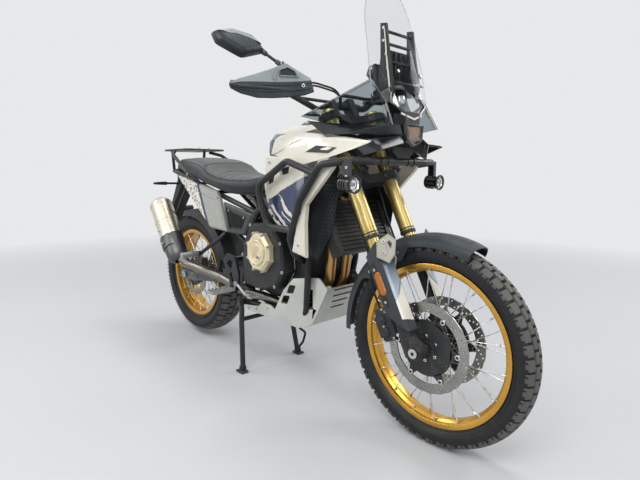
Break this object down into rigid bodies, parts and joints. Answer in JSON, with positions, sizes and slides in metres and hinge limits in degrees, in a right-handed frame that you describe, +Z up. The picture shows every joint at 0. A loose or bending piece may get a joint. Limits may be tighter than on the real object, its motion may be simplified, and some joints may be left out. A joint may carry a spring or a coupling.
{
  "type": "adventure motorcycle",
  "caption": "Adventure motorcycle with wire wheels, long-travel fork, tall screen, crash bars and rear rack, standing on its centre stand.",
  "frame": {"origin": "on the floor under the middle of the motorcycle, midway between its foremost and rearmost points, on its centre plane", "axes": "+X forward, +Y to the rider's left, +Z up; steering straight ahead, standing upright on the centre stand"},
  "size_m": [2.212, 0.964, 1.53],
  "materials": {
    "tyre_rubber": "matte knobbly rubber",
    "rim_gold": "satin gold anodised",
    "spoke_steel": "polished stainless",
    "hub_black": "satin black",
    "disc_steel": "machined steel",
    "chain_steel": "oiled steel",
    "fork_gold": "gloss gold anodised",
    "fork_leg_black": "satin black",
    "guard_plastic": "moulded",
    "clamp_black": "satin black",
    "bracket_grey": "satin grey",
    "bar_black": "matt black",
    "grip_rubber": "ribbed",
    "mirror_black": "moulded",
    "caliper_black": "satin",
    "hose_black": "matt",
    "axle_steel": "turned",
    "frame_black": "powder coat",
    "engine_black": "satin cast",
    "cover_champagne": "satin champagne",
    "radiator_black": "finned",
    "header_bronze": "heat tinted",
    "silencer_steel": "brushed champagne",
    "swingarm_black": "satin",
    "spring_black": "gloss",
    "fender_grey": "moulded",
    "tank_cream": "gloss cream with navy flashes",
    "shroud_cream": "gloss cream with navy flashes",
    "fairing_black": "moulded",
    "smoked": "smoked clear",
    "lamp_clear": "clear",
    "screen_clear": "clear",
    "seat_cover": "grained vinyl",
    "tail_white": "gloss with dark speckle",
    "rack_black": "powder coat",
    "lamp_red": "red lens",
    "skid_silver": "bead blasted",
    "peg_steel": "zinc",
    "stand_black": "gloss"
  },
  "bodies": {
    "chassis": {"clutch_cover": "cover_champagne", "crash_bars": "frame_black", "drive_chain": "chain_steel", "engine": "engine_black", "exhaust_pipes": "header_bronze", "fairing_stay": "frame_black", "foot_levers": "peg_steel", "footrests": "peg_steel", "fuel_tank": "tank_cream", "headlamp": "fairing_black", "lamp_glass": "lamp_clear", "luggage_rack": "rack_black", "main_frame": "frame_black", "nose_panels": "fairing_black", "radiator": "radiator_black", "rear_axle": "axle_steel", "rear_caliper": "caliper_black", "rear_fender": "fender_grey", "rear_lamps": "lamp_red", "rear_shock": "spring_black", "screen_tower": "bar_black", "seat": "seat_cover", "side_panes": "smoked", "silencer": "silencer_steel", "skid_plate": "skid_silver", "spot_lamps": "fairing_black", "subframe": "frame_black", "swingarm": "swingarm_black", "swingarm_pivot": "axle_steel", "tail_panels": "tail_white", "tail_unit": "fender_grey", "tank_shrouds": "shroud_cream", "windscreen": "screen_clear"},
    "steering": {"fork_tubes": "fork_gold", "fork_legs": "fork_leg_black", "fork_guards": "guard_plastic", "triple_clamps": "clamp_black", "handlebar": "bar_black", "hand_controls": "grip_rubber", "hand_guards": "guard_plastic", "mirrors": "mirror_black", "front_fender": "fender_grey", "fender_brackets": "bracket_grey", "front_calipers": "caliper_black", "control_cables": "hose_black", "front_axle": "axle_steel"},
    "front_wheel": {"front_tyre": "tyre_rubber", "front_rim": "rim_gold", "front_spokes": "spoke_steel", "front_hub": "hub_black", "front_discs": "disc_steel"},
    "rear_wheel": {"rear_tyre": "tyre_rubber", "rear_rim": "rim_gold", "rear_spokes": "spoke_steel", "rear_hub": "hub_black", "rear_disc": "disc_steel", "rear_sprocket": "disc_steel"},
    "centre_stand": {"centre_stand": "stand_black"},
    "side_stand": {"side_stand": "stand_black"}
  },
  "joints": [
    {"name": "steering_head", "type": "hinge", "parent": "chassis", "child": "steering", "pos_m": [0.71154, 0, 0.32076], "axis": [-0.454, 0, 0.891], "range_deg": [-38, 38]},
    {"name": "front_wheel_spin", "type": "hinge", "parent": "steering", "child": "front_wheel", "pos_m": [0.765, 0, 0.348], "axis": [0, 1, 0], "continuous": true},
    {"name": "rear_wheel_spin", "type": "hinge", "parent": "chassis", "child": "rear_wheel", "pos_m": [-0.765, 0, 0.358], "axis": [0, 1, 0], "continuous": true},
    {"name": "centre_stand_fold", "type": "hinge", "parent": "chassis", "child": "centre_stand", "pos_m": [-0.185, 0, 0.318], "axis": [0, 1, 0], "range_deg": [0, 80]},
    {"name": "side_stand_fold", "type": "hinge", "parent": "chassis", "child": "side_stand", "pos_m": [0.03, 0.16, 0.352], "axis": [-0.033, -0.9504, -0.3091], "range_deg": [0, 94]}
  ]
}
